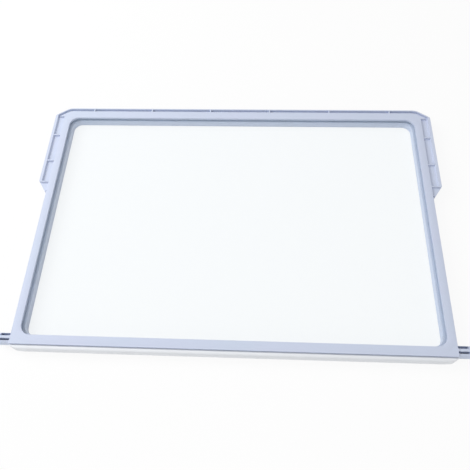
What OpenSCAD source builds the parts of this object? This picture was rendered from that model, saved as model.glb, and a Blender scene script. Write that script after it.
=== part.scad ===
// Refrigerator shelf: a glass pane held in a moulded frame, with a trim strip clipped on the front.
// The shelf lies flat on z = 0. X runs across the cabinet and Y runs from the door to the back.

/* [Shelf] */
// Width across the outer faces of the two side rails
rail_span = 470; // [420:1:560]
// Depth from the nose of the front trim to the back edge
shelf_depth = 330; // [290:1:400]
// Height of the frame
shelf_height = 16; // [15:0.5:20]

/* [Frame] */
// Width of the top of each side rail
side_rail_w = 8.8; // [8:0.1:12]
// Width of the top of the front rail
front_rail_w = 10.2; // [9:0.1:14]
// Width of the top of the rear rail
rear_rail_w = 11; // [9:0.1:16]
// Radius of the corners of the window in the frame
window_r = 12; // [8:0.5:20]
// Depth of the glass below the top of the frame
lip_t = 3.2; // [2:0.1:4]
// Rise of the rounded top of the rails above the flat land beside them
crown_h = 0.3; // [0.1:0.05:0.6]
// Thickness of the outer skirt and of the inner web under the glass
wall_t = 2; // [1.4:0.1:2.4]
// Thickness of the ledge that carries the glass
ledge_t = 2; // [1.6:0.1:3]
// How far the side ledges reach past the lip, under the glass
side_ledge = 2.8; // [0.5:0.1:5]
// How far the front and rear ledges reach past the lip
end_ledge = 1.4; // [0.5:0.1:4]
// Thickness of the cross ribs under the rails
rib_t = 1.4; // [1:0.1:2]
// Number of hollow cells under the front rail, and under the rear rail
end_cells = 12; // [8:4:16]
// Number of hollow cells under each side rail
side_cells = 8; // [4:1:12]

/* [Glass] */
// Thickness of the glass pane
glass_t = 4; // [3:0.5:5]
// How far the pane runs into the frame under the lip
glass_hold = 5.8; // [4:0.1:6]
// Radius of the corners of the pane
glass_r = 8; // [4:0.5:12]

/* [Side flanges] */
// How far each flange stands out from the side rail
flange_w = 12; // [9:0.5:16]
// Distance from the back edge to the front end of the flange wall
flange_run = 118; // [100:1:140]
// Length of the slanted front end of each flange
flange_nose = 18; // [12:1:26]
// Depth of the open channel along the top of each flange
channel_depth = 2.5; // [1.5:0.1:3]
// Thickness of the channel floor, which slides on the ledge of the cabinet
channel_floor = 2; // [1.6:0.1:3]
// How far the sloping outer side of the channel leans out on its way up
channel_draft = 1.2; // [0:0.1:2]
// Thickness of the outer wall of the flange at its top
flange_wall = 3.2; // [2:0.1:4]
// Distance from the back edge to the rear rib in the channel
rear_rib = 44.7; // [30:0.1:60]
// Distance from the back edge to the front rib in the channel
front_rib = 85.7; // [70:0.1:92]
// Diameter of the small dimple in the slanted front end
dimple_d = 2.2; // [1:0.1:3]

/* [Rear edge] */
// Width of the groove along the back edge
gutter_w = 3.6; // [2:0.1:5]
// Thickness of the floor of the groove
gutter_floor = 1.3; // [1:0.1:1.6]
// Thickness of the thin wall behind the groove
gutter_wall = 1.3; // [1:0.1:2]
// Number of small ribs across the groove
gutter_ribs = 6; // [2:1:6]
// Spacing of the ribs across the groove
gutter_pitch = 78.3; // [40:0.1:80]
// Width of each slanted rear corner
corner_run = 17; // [12:0.5:22]
// Depth of each slanted rear corner
corner_drop = 11.6; // [8:0.1:12]
// Rounding where the back edge turns into the slanted corner
corner_r = 16; // [8:0.5:20]
// Rounding where the slanted corner turns into the side of the flange
shoulder_r = 3; // [1:0.5:5]

/* [Pegs] */
// Diameter of the front pegs
peg_d = 13; // [12:0.1:14]
// How far each peg stands out from the side rail
peg_reach = 14.3; // [10:0.1:20]
// Height of the axis of the pegs above the underside of the shelf
peg_z = 8.5; // [7:0.1:9]
// Distance from the front face of the frame back to the axis of the pegs
peg_back = 6.7; // [6.5:0.1:12]
// Radius of the fillet round the root of each peg
peg_root_r = 3; // [1:0.1:3.5]
// Chamfer at the outer end of each peg
peg_chamfer = 0.6; // [0.2:0.1:1]
// Thickness of the closed disc at the outer end of each peg
peg_disc = 2.6; // [1.5:0.1:4]
// Thickness of the rib that runs along each peg between its two pockets
peg_rib = 2.8; // [1.5:0.1:3]
// Width of the rear pocket sunk into the top of each peg
rear_pocket_w = 3.2; // [2:0.1:3.4]
// Width of the front pocket sunk into the top of each peg
front_pocket_w = 2.3; // [1.5:0.1:2.6]
// Depth of both pockets below the top of the peg
pocket_depth = 8.5; // [4:0.1:9.5]

/* [Front trim] */
// How far the nose of the trim stands in front of the frame
trim_reach = 6; // [5:0.1:9]
// How much lower than the frame the top of the trim lies
trim_drop = 0.8; // [0:0.1:2]
// Squareness of the nose, where 2 is an ellipse and more is boxier
nose_square = 2.6; // [2:0.1:4]
// How far the foot of the trim is drawn back below the nose
foot_back = 2.5; // [1:0.1:3]
// Width of the shadow groove between the frame and the trim
groove_w = 1.7; // [1:0.1:2.2]
// Depth of the shadow groove
groove_depth = 3; // [2:0.1:4]
// Wall thickness of the trim
trim_t = 1.6; // [1.2:0.1:1.8]
// Width of the rounding at each end of the nose, seen from above
trim_end_r = 18; // [8:1:40]
// How far the middle of the nose stands in front of its ends
trim_bow = 1.2; // [0:0.1:2]
// Width of each clip that hooks the trim under the frame
clip_w = 18; // [10:1:22]
// Height of each clip
clip_h = 4.6; // [4:0.1:5]

/* [Hidden] */
$fn = 96;
// How far a cutting body runs past the face that it cuts
over = 1;
side_x = rail_span / 2;
back_y = shelf_depth / 2;
nose_y = -shelf_depth / 2;
front_y = nose_y + trim_reach;
top_z = shelf_height;
land_z = top_z - crown_h;
crown_root = 0.5;
crown_steps = 8;
glass_top = top_z - lip_t;
glass_bottom = glass_top - glass_t;
ledge_bottom = glass_bottom - ledge_t;
// Edges of the window, and the back face of the rear rail
window_x = side_x - side_rail_w;
rail_back_y = back_y - gutter_wall - gutter_w;
window_front = front_y + front_rail_w;
window_back = rail_back_y - rear_rail_w;
// Edges of the opening inside the ledge
open_x = window_x - side_ledge;
open_front = window_front + end_ledge;
open_back = window_back - end_ledge;
open_r = window_r - end_ledge;
// Flanges and their rounded corners
flange_x = side_x + flange_w;
flange_front = back_y - flange_run;
flange_z = land_z - channel_depth - channel_floor;
channel_z = land_z - channel_depth;
channel_back = 14;
channel_wall_x = flange_x - flange_wall;
tip_r = 1.5;
dimple_back = 13;
dimple_depth = 1;
arc_steps = 6;
// Pegs
peg_r = peg_d / 2;
peg_y = front_y + peg_back;
peg_rear_skin = 1.2;
// Hollow cells under the rails
end_cell_span = 2 * (open_x - wall_t);
end_cell_pitch = end_cell_span / end_cells;
corner_block = 14;
side_cell_front = front_y + corner_block;
side_cell_back = rail_back_y - corner_block;
side_cell_pitch = (side_cell_back - side_cell_front) / side_cells;
// Shape of the nose, with its widest point at belly_z
brow_z = top_z - trim_drop;
belly_z = top_z * 0.55;
nose_steps = 10;
foot_steps = 3;
bow_steps = 4;
end_steps = 8;
end_flat = 1;
// The clips sit under every second cell of the front rail, mirrored about the middle
clip_tooth = 0.8;
clip_tooth_h = 1.4;
clips = [for (i = [0 : 2 : end_cells / 2 - 1], side = [-1, 1]) side * end_cell_pitch * (i + 0.5)];

// Plate with rounded corners, from one corner of its outline to the opposite one
module rounded_plate(from, to, r, h) {
    size = to - from;
    translate(from) linear_extrude(h) union() {
        translate([r, 0]) square([size.x - 2 * r, size.y]);
        translate([0, r]) square([size.x, size.y - 2 * r]);
        for (x = [r, size.x - r], y = [r, size.y - r])
            translate([x, y]) circle(r);
    }
}

// Direction v turned by an angle
function turned(v, angle) = [
    v.x * cos(angle) - v.y * sin(angle),
    v.x * sin(angle) + v.y * cos(angle)
];

// Points of the arc of radius r that rounds off corner b of the path from a to c
function corner_arc(a, b, c, r) =
    let (
        to_a = (a - b) / norm(a - b),
        to_c = (c - b) / norm(c - b),
        half = acos(to_a * to_c) / 2,
        middle = to_a + to_c,
        centre = b + middle / norm(middle) * r / sin(half),
        start = b + to_a * r / tan(half) - centre,
        turn = sign(cross(b - a, c - b)) * (180 - 2 * half)
    )
    [for (i = [0 : arc_steps]) centre + turned(start, turn * i / arc_steps)];

// Closed outline through [x, y, radius] points, rounded where the radius isn't zero
function rounded(path) =
    let (n = len(path), xy = [for (p = path) [p.x, p.y]])
    [for (i = [0 : n - 1])
        each (path[i].z > 0
            ? corner_arc(xy[(i + n - 1) % n], xy[i], xy[(i + 1) % n], path[i].z)
            : [xy[i]])];

// Outline of a form that is the same on both sides, from the points of its right half
function both_sides(right) = [
    each right,
    for (i = [len(right) - 1 : -1 : 0]) [-right[i].x, right[i].y, right[i].z]
];

// Right corner of the back edge and the slanted edge, both moved inwards by inset
function back_corner(inset) =
    let (along = inset * (norm([corner_run, corner_drop]) - corner_run) / corner_drop)
    [flange_x - corner_run - along, back_y - inset, corner_r - inset];

// Point on the slanted edge, moved inwards by inset, at the distance x from the middle
function slant_point(inset, x, r) =
    let (corner = back_corner(inset))
    [x, corner.y - (x - corner.x) * corner_drop / corner_run, r];

// Pane of glass, also used to cut its slot in the frame
module pane_body() {
    translate([0, 0, glass_bottom]) rounded_plate(
        [-window_x - glass_hold, window_front - glass_hold],
        [window_x + glass_hold, window_back + glass_hold],
        glass_r, glass_t);
}

// The rounded top of the rails, as seen in a cut across a rail
module crown_section() {
    polygon([
        [0, -crown_root],
        for (i = [0 : crown_steps])
            let (t = i / crown_steps)
            [t * side_rail_w, crown_h * (1 - pow(2 * t - 1, 2))],
        [side_rail_w, -crown_root]
    ]);
}

// One straight run of the crown, from a to b, with the window on its left
module crown_run(a, b) {
    along = b - a;
    translate([a.x, a.y, land_z]) rotate([0, 0, atan2(along.y, along.x)])
        rotate([90, 0, 90]) mirror([1, 0, 0]) linear_extrude(norm(along)) crown_section();
}

// The crown round all four sides of the window
module crown() {
    near = window_x - window_r;
    low = window_front + window_r;
    high = window_back - window_r;
    crown_run([-near, window_front], [near, window_front]);
    crown_run([window_x, low], [window_x, high]);
    crown_run([near, window_back], [-near, window_back]);
    crown_run([-window_x, high], [-window_x, low]);
    for (c = [[near, high, 0], [-near, high, 90], [-near, low, 180], [near, low, 270]])
        translate([c.x, c.y, land_z]) rotate([0, 0, c.z])
            rotate_extrude(angle = 90) translate([window_r, 0]) crown_section();
}

// Body of the four rails below the crown, still without its window
module rail_body() {
    translate([-side_x, front_y, 0])
        cube([rail_span, rail_back_y - front_y, land_z]);
}

// Plate that carries the two flanges and the groove along the back edge
module flange_plate() {
    translate([0, 0, flange_z]) linear_extrude(land_z - flange_z) polygon(rounded(both_sides([
        [side_x, front_y, 0],
        [side_x, flange_front - flange_nose, 0],
        [flange_x, flange_front, tip_r],
        slant_point(0, flange_x, shoulder_r),
        back_corner(0)
    ])));
}

// One bay of the open channel along the top of the right flange
module channel_bay(from, to) {
    lean = channel_draft / channel_depth;
    translate([0, to, 0]) rotate([90, 0, 0]) linear_extrude(to - from) polygon([
        [side_x, channel_z],
        [channel_wall_x - channel_draft, channel_z],
        [channel_wall_x + over * lean, land_z + over],
        [side_x, land_z + over]
    ]);
}

// Everything sunk into the top of the right flange: three bays and the stepped front end
module flange_cuts() {
    channel_bay(back_y - rear_rib + rib_t / 2, back_y - channel_back);
    channel_bay(back_y - front_rib + rib_t / 2, back_y - rear_rib - rib_t / 2);
    channel_bay(flange_front + rib_t / 2, back_y - front_rib - rib_t / 2);
    translate([side_x, flange_front - flange_nose - over, channel_z])
        cube([flange_w + over, flange_nose + over - rib_t / 2, channel_depth + over]);
    translate([side_x + dimple_d / 2, flange_front - dimple_back, channel_z - dimple_depth])
        cylinder(d = dimple_d, h = dimple_depth + over);
}

// Groove along the back edge, which follows the slanted corners
module gutter_cut() {
    inner = gutter_wall + gutter_w;
    floor_z = flange_z + gutter_floor;
    translate([0, 0, floor_z]) linear_extrude(land_z - floor_z + over) difference() {
        polygon(rounded(both_sides([
            back_corner(gutter_wall),
            slant_point(gutter_wall, channel_wall_x, 0),
            slant_point(inner, channel_wall_x, 0),
            back_corner(inner)
        ])));
        for (i = [0 : gutter_ribs - 1])
            translate([(i - (gutter_ribs - 1) / 2) * gutter_pitch - rib_t / 2, rail_back_y - over])
                square([rib_t, gutter_w + 2 * over]);
    }
}

// Front peg on the right side, with a fillet round its root and a chamfer at its end
module peg() {
    translate([side_x, peg_y, peg_z]) rotate([0, 90, 0]) {
        translate([0, 0, -over]) cylinder(r = peg_r, h = peg_reach - peg_chamfer + over);
        translate([0, 0, peg_reach - peg_chamfer])
            cylinder(r1 = peg_r, r2 = peg_r - peg_chamfer, h = peg_chamfer);
    }
    intersection() {
        translate([side_x, peg_y, peg_z]) rotate([0, 90, 0]) rotate_extrude() difference() {
            translate([0, -over]) square([peg_r + peg_root_r, peg_root_r + over]);
            translate([peg_r + peg_root_r, peg_root_r]) circle(peg_root_r);
        }
        translate([side_x - over, front_y, 0]) cube([peg_root_r + over, 2 * peg_d, land_z]);
    }
}

// The two pockets in the top of the right peg, one on each side of its rib
module peg_pockets() {
    rear_pocket_y = peg_y + peg_r - peg_rear_skin - rear_pocket_w;
    front_pocket_y = rear_pocket_y - peg_rib - front_pocket_w;
    floor_z = peg_z + peg_r - pocket_depth;
    for (pocket = [[rear_pocket_y, rear_pocket_w], [front_pocket_y, front_pocket_w]])
        translate([side_x, pocket[0], floor_z])
            cube([peg_reach - peg_disc, pocket[1], pocket_depth + over]);
}

// Hollow cells under the rails, with cross ribs left between them
module underside_cells() {
    for (i = [0 : end_cells - 1]) {
        x = -end_cell_span / 2 + i * end_cell_pitch + rib_t / 2;
        translate([x, front_y + wall_t, -over])
            cube([end_cell_pitch - rib_t, open_front - front_y - 2 * wall_t, ledge_bottom + over]);
        translate([x, open_back + wall_t, -over])
            cube([end_cell_pitch - rib_t, rail_back_y - open_back - 2 * wall_t, ledge_bottom + over]);
    }
    for (i = [0 : side_cells - 1], x = [open_x + wall_t, wall_t - side_x])
        translate([x, side_cell_front + i * side_cell_pitch + rib_t / 2, -over])
            cube([side_x - open_x - 2 * wall_t, side_cell_pitch - rib_t, ledge_bottom + over]);
}

// Clip that passes under the front skirt and hooks up behind it, with a tooth that snaps into it
module trim_clip() {
    translate([-clip_w / 2, front_y - trim_t, 0])
        cube([clip_w, 2 * trim_t + wall_t, trim_t]);
    translate([-clip_w / 2, front_y + wall_t, 0])
        cube([clip_w, trim_t, clip_h]);
    translate([-clip_w / 2, front_y + wall_t - clip_tooth, clip_h - clip_tooth_h])
        cube([clip_w, clip_tooth + trim_t / 2, clip_tooth_h]);
}

// Moulded frame with its lip, ledge, flanges, groove and pegs
module frame() {
    color([0.78, 0.82, 0.92]) difference() {
        union() {
            rail_body();
            flange_plate();
            crown();
            for (s = [0, 1]) mirror([s, 0, 0]) peg();
        }
        translate([0, 0, glass_bottom])
            rounded_plate([-window_x, window_front], [window_x, window_back], window_r, top_z);
        translate([0, 0, -over])
            rounded_plate([-open_x, open_front], [open_x, open_back], open_r, glass_bottom + 2 * over);
        pane_body();
        gutter_cut();
        underside_cells();
        for (x = clips) translate([x, 0, 0]) trim_clip();
        for (s = [0, 1]) mirror([s, 0, 0]) {
            flange_cuts();
            peg_pockets();
        }
    }
}

// Tempered glass pane
module glass_pane() {
    color([0.86, 0.95, 0.95, 0.5]) pane_body();
}

// Point on the nose of a cut through the trim, at an angle from its top, moved inwards by inset
function nose_point(inset, angle) = [
    front_y - groove_w - (trim_reach - groove_w - inset) * pow(sin(angle), 2 / nose_square),
    belly_z + (brow_z - inset - belly_z) * pow(cos(angle), 2 / nose_square)
];

// Points down the drawn-back foot of that cut
function foot_points(inset) = [
    for (i = [1 : foot_steps])
        let (t = i / foot_steps)
        [nose_y + inset + foot_back * pow(t, 2), belly_z - (belly_z - inset) * t]
];

// Cut through the trim without its cavity, drawn with Y to the right and Z up
module nose_section() {
    polygon([
        [front_y, 0],
        [front_y, top_z - groove_depth],
        [front_y - groove_w, top_z - groove_depth],
        for (i = [0 : nose_steps]) nose_point(0, 90 * i / nose_steps),
        each foot_points(0)
    ]);
}

// Cavity of that cut, which leaves a wall of the same thickness all round
module cavity_section() {
    ceiling_z = top_z - groove_depth - trim_t;
    start = asin(pow(trim_t / (trim_reach - groove_w - trim_t), nose_square / 2));
    polygon([
        [front_y + over, trim_t],
        [front_y + over, ceiling_z],
        [front_y - groove_w - trim_t, ceiling_z],
        for (i = [0 : nose_steps]) nose_point(trim_t, start + (90 - start) * i / nose_steps),
        each foot_points(trim_t)
    ]);
}

// Outline of the trim seen from above, moved inwards by inset: a slight bow with rounded ends
module nose_plan(inset) {
    half = side_x - inset;
    round_w = trim_end_r - inset;
    flat = half - round_w;
    drop = trim_reach - trim_bow - end_flat;
    right = [
        for (i = [end_steps : -1 : 1])
            let (angle = 90 * i / end_steps)
            [flat + round_w * sin(angle), drop * (1 - cos(angle))],
        for (i = [bow_steps : -1 : 0]) [flat * i / bow_steps, 0]
    ];
    left = [for (i = [len(right) - 2 : -1 : 0]) [-right[i].x, right[i].y]];
    polygon([
        [half, front_y + over],
        for (p = [each right, each left])
            [p.x, nose_y + inset + trim_bow * pow(p.x / half, 2) + p.y],
        [-half, front_y + over]
    ]);
}

// A cut through the trim run along X and trimmed to the outline from above
module nose_run(inset) {
    intersection() {
        translate([inset - side_x, 0, 0]) rotate([90, 0, 90])
            linear_extrude(rail_span - 2 * inset) children();
        translate([0, 0, -over]) linear_extrude(top_z + 2 * over) nose_plan(inset);
    }
}

// Trim strip along the front: a thin rounded shell, closed at its ends and open at the back
module front_trim() {
    color([0.88, 0.89, 0.91]) {
        difference() {
            nose_run(0) nose_section();
            nose_run(trim_t) cavity_section();
        }
        for (x = clips) translate([x, 0, 0]) trim_clip();
    }
}

frame();
glass_pane();
front_trim();
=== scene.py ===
"""Dresses the refrigerator shelf: its moulded frame, its glass pane and its front trim, on a white table."""

import math

import bpy
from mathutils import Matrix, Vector


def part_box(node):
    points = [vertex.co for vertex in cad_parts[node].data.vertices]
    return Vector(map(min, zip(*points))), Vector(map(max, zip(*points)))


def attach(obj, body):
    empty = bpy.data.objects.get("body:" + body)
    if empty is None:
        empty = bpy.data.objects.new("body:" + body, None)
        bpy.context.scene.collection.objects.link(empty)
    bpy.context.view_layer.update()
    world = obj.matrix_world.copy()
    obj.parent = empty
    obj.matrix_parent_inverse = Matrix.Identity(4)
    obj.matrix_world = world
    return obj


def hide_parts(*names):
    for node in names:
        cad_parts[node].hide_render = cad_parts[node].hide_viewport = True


bl_info = {
    "name": "Refrigerator shelf",
    "version": (1, 0, 0),
    "blender": (4, 5, 0),
    "location": "View3D > Sidebar > Shelf",
    "description": "Dresses the frame, the glass and the trim of a refrigerator shelf, and sets its stage",
    "category": "Object",
}

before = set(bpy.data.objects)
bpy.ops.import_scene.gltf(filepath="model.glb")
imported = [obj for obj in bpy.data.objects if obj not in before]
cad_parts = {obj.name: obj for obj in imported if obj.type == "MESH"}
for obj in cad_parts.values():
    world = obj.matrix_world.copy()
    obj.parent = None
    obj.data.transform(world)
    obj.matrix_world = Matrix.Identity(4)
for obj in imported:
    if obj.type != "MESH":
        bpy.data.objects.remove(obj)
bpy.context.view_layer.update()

MM = 0.001
MERGE_DISTANCE = 0.002 * MM
SAME_PLACE = 0.01 * MM


class PlasticSettings(bpy.types.PropertyGroup):
    """Moulded plastic of the frame and of the trim"""

    edge_radius: bpy.props.FloatProperty(
        name="Edge radius", description="Rounding of the moulded edges",
        default=0.3 * MM, min=0.05 * MM, max=0.5 * MM, unit="LENGTH", precision=5)
    frame_colour: bpy.props.FloatVectorProperty(
        name="Frame colour", description="Pale lavender grey of the frame",
        default=(0.577, 0.616, 0.768), size=3, min=0, max=1, subtype="COLOR")
    frame_cool_colour: bpy.props.FloatVectorProperty(
        name="Frame cool colour", description="Cooler tone that the frame's colour drifts to",
        default=(0.556, 0.626, 0.752), size=3, min=0, max=1, subtype="COLOR")
    # Painted highlight: a paler tone laid along the frame's edges, which are not worn
    frame_edge_highlight_colour: bpy.props.FloatVectorProperty(
        name="Frame edge colour", description="Paler tone of the frame's rubbed edges",
        default=(0.640, 0.680, 0.820), size=3, min=0, max=1, subtype="COLOR")
    trim_colour: bpy.props.FloatVectorProperty(
        name="Trim colour", description="Neutral pale grey of the front trim",
        default=(0.800, 0.815, 0.850), size=3, min=0, max=1, subtype="COLOR")
    trim_cool_colour: bpy.props.FloatVectorProperty(
        name="Trim cool colour", description="Cooler tone that the trim's colour drifts to",
        default=(0.785, 0.811, 0.845), size=3, min=0, max=1, subtype="COLOR")
    # Painted highlight: a paler tone laid along the trim's edges, which are not worn
    trim_edge_highlight_colour: bpy.props.FloatVectorProperty(
        name="Trim edge colour", description="Paler tone of the trim's rubbed edges",
        default=(0.840, 0.850, 0.875), size=3, min=0, max=1, subtype="COLOR")
    roughness: bpy.props.FloatProperty(
        name="Roughness", description="Mean roughness of the moulded skin",
        default=0.42, min=0, max=1, subtype="FACTOR")


class GlassSettings(bpy.types.PropertyGroup):
    """Tempered glass pane"""

    gap: bpy.props.FloatProperty(
        name="Gap", description="Clearance between the pane and its slot, above and below",
        default=0.04 * MM, min=0, max=0.2 * MM, unit="LENGTH", precision=5)
    corner_radius: bpy.props.FloatProperty(
        name="Corner radius", description="Rounding of the pane's corners, seen from above",
        default=8 * MM, min=2 * MM, max=12 * MM, unit="LENGTH", precision=5)
    arris: bpy.props.FloatProperty(
        name="Arris", description="Width of the ground arris round both faces",
        default=0.6 * MM, min=0.1 * MM, max=1.5 * MM, unit="LENGTH", precision=5)
    tint: bpy.props.FloatVectorProperty(
        name="Tint", description="Colour that light takes on as it enters or leaves a face",
        default=(0.970, 0.990, 1.000), size=3, min=0, max=1, subtype="COLOR")
    edge_tint: bpy.props.FloatVectorProperty(
        name="Edge tint", description="Green-blue of the ground edge",
        default=(0.42, 0.74, 0.70), size=3, min=0, max=1, subtype="COLOR")


class StageSettings(bpy.types.PropertyGroup):
    """White table, lamps and camera"""

    table_size: bpy.props.FloatProperty(
        name="Table size", description="Width of the white table",
        default=8.0, min=1, max=30, unit="LENGTH")
    table_glow: bpy.props.FloatProperty(
        name="Table glow", description="Share of plain white where the camera sees the table itself",
        default=0.9, min=0, max=1, subtype="FACTOR")
    table_glow_in_glass: bpy.props.FloatProperty(
        name="Table glow in glass", description="The same share where the table shows through glass or in gloss",
        default=0.8, min=0, max=1, subtype="FACTOR")
    room_level: bpy.props.FloatProperty(
        name="Room level", description="Strength of the even light from all sides",
        default=0.45, min=0, max=2)
    window_power: bpy.props.FloatProperty(
        name="Window power", description="Power of the large soft lamp on the left",
        default=12.0, min=0, max=500, unit="POWER")
    ceiling_power: bpy.props.FloatProperty(
        name="Ceiling power", description="Power of the wide soft lamp overhead",
        default=4.8, min=0, max=500, unit="POWER")
    front_power: bpy.props.FloatProperty(
        name="Front power", description="Power of the soft lamp in front, which lifts the trim",
        default=4.6, min=0, max=500, unit="POWER")
    camera_lens: bpy.props.FloatProperty(
        name="Camera lens", description="Focal length on a sensor 36 mm wide, in millimetres",
        default=39.368, min=10, max=200)
    camera_place: bpy.props.FloatVectorProperty(
        name="Camera place", description="Where the camera stands",
        default=(0.03139, -0.30074, 0.54357), size=3, subtype="TRANSLATION", unit="LENGTH")
    camera_turn: bpy.props.FloatVectorProperty(
        name="Camera turn", description="How the camera is turned",
        default=(math.radians(27.7377), math.radians(2.0855), math.radians(2.3129)),
        size=3, subtype="EULER", unit="ROTATION")


def select_only(piece):
    """Selects one object and nothing else, and makes it the active one"""
    bpy.ops.object.select_all(action="DESELECT")
    piece.select_set(True)
    bpy.context.view_layer.objects.active = piece


def bevel_edges(piece, width, steps, wanted):
    """Bevels the edges of a piece whose two ends pass a test"""
    select_only(piece)
    bpy.ops.object.mode_set(mode="EDIT")
    bpy.ops.mesh.select_mode(type="EDGE")
    bpy.ops.mesh.select_all(action="DESELECT")
    bpy.ops.object.mode_set(mode="OBJECT")
    for edge in piece.data.edges:
        edge.select = wanted(*(piece.data.vertices[i].co for i in edge.vertices))
    bpy.ops.object.mode_set(mode="EDIT")
    bpy.ops.mesh.bevel(offset=width, segments=steps, affect="EDGES")
    bpy.ops.mesh.select_all(action="DESELECT")
    bpy.ops.object.mode_set(mode="OBJECT")


def apply_modifier(piece, kind, **values):
    """Adds a modifier with these values to a piece and applies it"""
    select_only(piece)
    bpy.ops.object.modifier_add(type=kind)
    modifier = piece.modifiers[-1]
    for name, value in values.items():
        setattr(modifier, name, value)
    bpy.ops.object.modifier_apply(modifier=modifier.name)


def merged_copy(node, name):
    """Copy of a CAD node with its loose triangles joined"""
    piece = bpy.data.objects.new(name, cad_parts[node].data.copy())
    piece.data.name = name
    piece.data.materials.clear()
    bpy.context.collection.objects.link(piece)
    select_only(piece)
    bpy.ops.object.mode_set(mode="EDIT")
    bpy.ops.mesh.select_all(action="SELECT")
    bpy.ops.mesh.remove_doubles(threshold=MERGE_DISTANCE)
    bpy.ops.mesh.select_all(action="DESELECT")
    bpy.ops.object.mode_set(mode="OBJECT")
    bpy.ops.mesh.customdata_custom_splitnormals_clear()
    return piece


def shade_smoothly(piece):
    """Smooth shading across curves, with the flat faces kept flat"""
    select_only(piece)
    bpy.ops.object.shade_smooth_by_angle(angle=math.radians(35))
    apply_modifier(piece, "WEIGHTED_NORMAL", keep_sharp=True, weight=50)


def stands_for(piece, node):
    """Seats a finished piece in the place of its CAD node"""
    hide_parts(node)
    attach(piece, "root")


class NodeTree:
    """Small helper that adds nodes to one material and links them"""

    def __init__(self, owner):
        owner.use_nodes = True
        self.tree = owner.node_tree
        self.tree.nodes.clear()

    def add(self, kind, values=None, **settings):
        """Adds a node, with settings on the node and values or links on its inputs"""
        node = self.tree.nodes.new(kind)
        for name, value in settings.items():
            setattr(node, name, value)
        for name, value in (values or {}).items():
            self.feed(node.inputs[name], value)
        return node

    def feed(self, socket, value):
        """Links an output to an input, or sets the input's own value"""
        if isinstance(value, bpy.types.NodeSocket):
            self.tree.links.new(value, socket)
        else:
            socket.default_value = value


def grain(tree, place, scale, detail):
    """Noise of a given fineness, in features per metre, as a factor"""
    noise = tree.add("ShaderNodeTexNoise", {"Vector": place, "Scale": scale, "Detail": detail})
    return noise.outputs["Fac"]


def remap(tree, value, low, high):
    """A factor from 0 to 1 brought to the range from low to high"""
    node = tree.add("ShaderNodeMapRange", {"Value": value, "To Min": low, "To Max": high})
    return node.outputs["Result"]


def blend_colours(tree, factor, first, second):
    """Mix of two colours by a factor"""
    node = tree.add("ShaderNodeMix", data_type="RGBA")
    sockets = {socket.identifier: socket for socket in node.inputs}
    tree.feed(sockets["Factor_Float"], factor)
    for name, colour in (("A_Color", first), ("B_Color", second)):
        tree.feed(sockets[name], colour if isinstance(colour, bpy.types.NodeSocket) else (*colour, 1))
    return next(socket for socket in node.outputs if socket.identifier == "Result_Color")


def painted_edge_highlight(tree, rounded):
    """Factor that is 1 along the sharp edges, where the rounded normal leaves the true one, and 0 elsewhere; it
    masks the painted highlight that makes the edges paler, and their lower roughness
    """
    true = tree.add("ShaderNodeNewGeometry").outputs["Normal"]
    apart = tree.add("ShaderNodeVectorMath", operation="DOT_PRODUCT")
    tree.feed(apart.inputs[0], true)
    tree.feed(apart.inputs[1], rounded)
    edge = tree.add("ShaderNodeMapRange", {
        "Value": apart.outputs["Value"], "From Min": 0.995, "From Max": 0.80, "To Min": 0.0, "To Max": 1.0})
    return edge.outputs["Result"]


def moulded_plastic(name, colour, cool_colour, edge_highlight_colour, plastic):
    """Glossy moulded plastic with a faint drift of colour, a fine skin, and a painted highlight that makes the
    edges a little paler and glossier
    """
    material = bpy.data.materials.new(name)
    tree = NodeTree(material)
    place = tree.add("ShaderNodeTexCoord").outputs["Object"]
    skin = grain(tree, place, 1800, 3)
    drift = grain(tree, place, 22, 2)
    rounded = tree.add("ShaderNodeBevel", {"Radius": plastic.edge_radius}, samples=6).outputs["Normal"]
    bump = tree.add("ShaderNodeBump", {
        "Strength": 0.25, "Distance": 0.02 * MM, "Height": skin, "Normal": rounded})
    # Mask of the painted edge highlight, which also makes the edges glossier
    edge = painted_edge_highlight(tree, rounded)
    shade = blend_colours(tree, drift, colour, cool_colour)
    # Painted highlight: the edges are made paler in the colour itself
    shade = blend_colours(tree, edge, shade, edge_highlight_colour)
    gloss = remap(tree, drift, plastic.roughness - 0.05, plastic.roughness + 0.05)
    smoother = tree.add("ShaderNodeMath", operation="MULTIPLY_ADD")
    tree.feed(smoother.inputs[0], edge)
    tree.feed(smoother.inputs[1], -0.12)
    tree.feed(smoother.inputs[2], gloss)
    shader = tree.add("ShaderNodeBsdfPrincipled", {
        "Base Color": shade,
        "Roughness": smoother.outputs["Value"],
        "Normal": bump.outputs["Normal"],
        "IOR": 1.5,
    })
    tree.add("ShaderNodeOutputMaterial", {"Surface": shader.outputs["BSDF"]})
    return material


def clear_glass(name, tint, roughness):
    """Glass that bends and mirrors what the camera sees, and lets the light of the lamps pass"""
    material = bpy.data.materials.new(name)
    tree = NodeTree(material)
    place = tree.add("ShaderNodeTexCoord").outputs["Object"]
    smears = grain(tree, place, 30, 4)
    waves = grain(tree, place, 12, 1)
    bump = tree.add("ShaderNodeBump", {"Strength": 0.02, "Distance": 0.5 * MM, "Height": waves})
    glass = tree.add("ShaderNodeBsdfPrincipled", {
        "Base Color": (*tint, 1),
        "Roughness": remap(tree, smears, roughness, roughness + 0.02),
        "Transmission Weight": 1.0,
        "IOR": 1.52,
        "Normal": bump.outputs["Normal"],
    })
    lamp_light = tree.add("ShaderNodeBsdfTransparent", {"Color": (*tint, 1)})
    path = tree.add("ShaderNodeLightPath")
    passes = tree.add("ShaderNodeMath", operation="MAXIMUM")
    tree.feed(passes.inputs[0], path.outputs["Is Shadow Ray"])
    tree.feed(passes.inputs[1], path.outputs["Is Diffuse Ray"])
    mixed = tree.add("ShaderNodeMixShader", {"Fac": passes.outputs["Value"]})
    tree.feed(mixed.inputs[1], glass.outputs["BSDF"])
    tree.feed(mixed.inputs[2], lamp_light.outputs["BSDF"])
    tree.add("ShaderNodeOutputMaterial", {"Surface": mixed.outputs["Shader"]})
    return material


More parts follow.
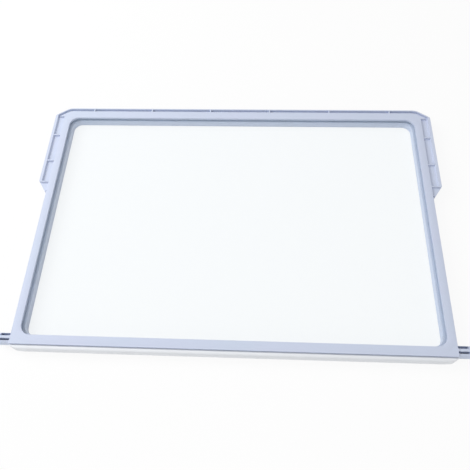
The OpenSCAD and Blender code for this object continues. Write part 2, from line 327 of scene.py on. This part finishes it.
def seen_directly(tree, in_gloss):
    """Factor that is 1 for what the camera sees itself, and in_gloss for what it sees in gloss or through glass"""
    path = tree.add("ShaderNodeLightPath")
    either = tree.add("ShaderNodeMath", operation="MAXIMUM")
    tree.feed(either.inputs[0], path.outputs["Is Glossy Ray"])
    tree.feed(either.inputs[1], path.outputs["Is Transmission Ray"])
    weighed = tree.add("ShaderNodeMath", operation="MULTIPLY")
    tree.feed(weighed.inputs[0], either.outputs["Value"])
    tree.feed(weighed.inputs[1], in_gloss)
    both = tree.add("ShaderNodeMath", operation="MAXIMUM")
    tree.feed(both.inputs[0], path.outputs["Is Camera Ray"])
    tree.feed(both.inputs[1], weighed.outputs["Value"])
    return both.outputs["Value"]


def white_table(name, glow, glow_in_glass):
    """White table that shows as white to the camera and still takes the shelf's shadow"""
    material = bpy.data.materials.new(name)
    tree = NodeTree(material)
    matt = tree.add("ShaderNodeBsdfDiffuse", {"Color": (0.85, 0.85, 0.85, 1)})
    white = tree.add("ShaderNodeEmission", {"Color": (1, 1, 1, 1), "Strength": 1.0})
    share = tree.add("ShaderNodeMath", operation="MULTIPLY")
    tree.feed(share.inputs[0], seen_directly(tree, glow_in_glass / glow))
    tree.feed(share.inputs[1], glow)
    mixed = tree.add("ShaderNodeMixShader", {"Fac": share.outputs["Value"]})
    tree.feed(mixed.inputs[1], matt.outputs["BSDF"])
    tree.feed(mixed.inputs[2], white.outputs["Emission"])
    tree.add("ShaderNodeOutputMaterial", {"Surface": mixed.outputs["Shader"]})
    return material


def soft_lamp(name, place, aim, width, power):
    """Square soft lamp that points from its place to an aim"""
    turn = (Vector(aim) - Vector(place)).to_track_quat("-Z", "Y").to_euler()
    bpy.ops.object.light_add(type="AREA", location=place, rotation=turn)
    lamp = bpy.context.object
    lamp.name = name
    lamp.data.size = width
    lamp.data.energy = power
    lamp.visible_glossy = False
    lamp.visible_transmission = False


class SHELF_OT_frame(bpy.types.Operator):
    """Makes the moulded frame from its CAD solid, with rounded edges and its plastic"""

    bl_idname = "shelf.moulded_frame"
    bl_label = "Moulded frame"

    def execute(self, context):
        plastic = context.scene.shelf_plastic
        piece = merged_copy("frame", "moulded_frame")
        shade_smoothly(piece)
        piece.data.materials.append(moulded_plastic(
            "frame_plastic", plastic.frame_colour, plastic.frame_cool_colour, plastic.frame_edge_highlight_colour, plastic))
        stands_for(piece, "frame")
        return {"FINISHED"}


class SHELF_OT_trim(bpy.types.Operator):
    """Makes the front trim from its CAD solid, with rounded edges and its plastic"""

    bl_idname = "shelf.front_trim"
    bl_label = "Front trim"

    def execute(self, context):
        plastic = context.scene.shelf_plastic
        piece = merged_copy("front_trim", "nose_trim")
        shade_smoothly(piece)
        piece.data.materials.append(moulded_plastic(
            "trim_plastic", plastic.trim_colour, plastic.trim_cool_colour, plastic.trim_edge_highlight_colour, plastic))
        stands_for(piece, "front_trim")
        return {"FINISHED"}


class SHELF_OT_glass(bpy.types.Operator):
    """Makes the glass pane, with round corners and a ground arris round both faces"""

    bl_idname = "shelf.glass"
    bl_label = "Glass pane"

    def execute(self, context):
        glass = context.scene.shelf_glass
        low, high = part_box("glass_pane")
        low.z += glass.gap
        high.z -= glass.gap
        bpy.ops.object.select_all(action="DESELECT")
        bpy.ops.mesh.primitive_cube_add(size=1, location=(low + high) / 2)
        piece = context.object
        piece.name = "tempered_pane"
        piece.data.name = piece.name
        bpy.ops.transform.resize(value=high - low)
        bpy.ops.object.transform_apply(location=True, rotation=True, scale=True)
        bevel_edges(piece, glass.corner_radius, 16, lambda a, b: abs(a.z - b.z) > SAME_PLACE)
        bevel_edges(piece, glass.arris, 2, lambda a, b: abs(a.z - b.z) < SAME_PLACE)
        shade_smoothly(piece)
        self.lay_glass(piece, glass)
        stands_for(piece, "glass_pane")
        return {"FINISHED"}

    def lay_glass(self, piece, glass):
        """Clear glass on both faces, ground glass on the rim"""
        piece.data.materials.append(clear_glass("clear_pane", glass.tint, 0.0))
        piece.data.materials.append(clear_glass("ground_edge", glass.edge_tint, 0.35))
        for face in piece.data.polygons:
            face.material_index = int(abs(face.normal.z) < 0.9)


class SHELF_OT_stage(bpy.types.Operator):
    """Sets the white table, the soft lamps and the camera"""

    bl_idname = "shelf.stage"
    bl_label = "Stage"

    def execute(self, context):
        stage = context.scene.shelf_stage
        context.scene.view_settings.view_transform = "Standard"
        self.lay_table(stage)
        self.light_room(context.scene, stage.room_level)
        soft_lamp("window_lamp", (-1.00, 0.35, 0.90), (0, 0, 0), 0.8, stage.window_power)
        soft_lamp("ceiling_lamp", (-0.15, 0.10, 1.60), (0, 0, 0), 1.6, stage.ceiling_power)
        soft_lamp("front_lamp", (0.00, -1.30, 0.80), (0, 0, 0), 1.2, stage.front_power)
        self.set_camera(context.scene, stage)
        return {"FINISHED"}

    def lay_table(self, stage):
        """White table under the shelf"""
        bpy.ops.object.select_all(action="DESELECT")
        bpy.ops.mesh.primitive_plane_add(size=stage.table_size, location=(0, 0, 0))
        table = bpy.context.object
        table.name = "white_table"
        table.data.materials.append(white_table("table_white", stage.table_glow, stage.table_glow_in_glass))

    def light_room(self, scene, level):
        """Even light from all sides, which shows as white to the camera and in gloss and glass"""
        scene.world = bpy.data.worlds.new("white_room")
        tree = NodeTree(scene.world)
        strength = remap(tree, seen_directly(tree, 1.0), level, 1.0)
        room = tree.add("ShaderNodeBackground", {"Color": (1, 1, 1, 1), "Strength": strength})
        tree.add("ShaderNodeOutputWorld", {"Surface": room.outputs["Background"]})

    def set_camera(self, scene, stage):
        """Camera at the viewing angle of the photograph"""
        bpy.ops.object.camera_add(location=stage.camera_place, rotation=stage.camera_turn)
        scene.camera = bpy.context.object
        scene.camera.name = "camera"
        scene.camera.data.lens = stage.camera_lens
        scene.camera.data.clip_start = 0.01


class SHELF_PT_sidebar(bpy.types.Panel):
    """Sidebar with the steps that make the shelf"""

    bl_label = "Refrigerator shelf"
    bl_space_type = "VIEW_3D"
    bl_region_type = "UI"
    bl_category = "Shelf"

    def draw(self, context):
        scene = context.scene
        parts = [
            (scene.shelf_plastic, (SHELF_OT_frame, SHELF_OT_trim)),
            (scene.shelf_glass, (SHELF_OT_glass,)),
            (scene.shelf_stage, (SHELF_OT_stage,)),
        ]
        for settings, steps in parts:
            box = self.layout.box()
            for name in settings.__annotations__:
                box.prop(settings, name)
            for step in steps:
                box.operator(step.bl_idname)


CLASSES = (
    PlasticSettings, GlassSettings, StageSettings,
    SHELF_OT_frame, SHELF_OT_trim, SHELF_OT_glass, SHELF_OT_stage, SHELF_PT_sidebar,
)
SETTINGS = {
    "shelf_plastic": PlasticSettings,
    "shelf_glass": GlassSettings,
    "shelf_stage": StageSettings,
}


def register():
    for item in CLASSES:
        bpy.utils.register_class(item)
    for name, group in SETTINGS.items():
        setattr(bpy.types.Scene, name, bpy.props.PointerProperty(type=group))


def unregister():
    for name in SETTINGS:
        delattr(bpy.types.Scene, name)
    for item in reversed(CLASSES):
        bpy.utils.unregister_class(item)


def main():
    """Makes every piece and the stage"""
    register()
    bpy.ops.shelf.moulded_frame()
    bpy.ops.shelf.front_trim()
    bpy.ops.shelf.glass()
    bpy.ops.shelf.stage()


if __name__ == "__main__":
    main()
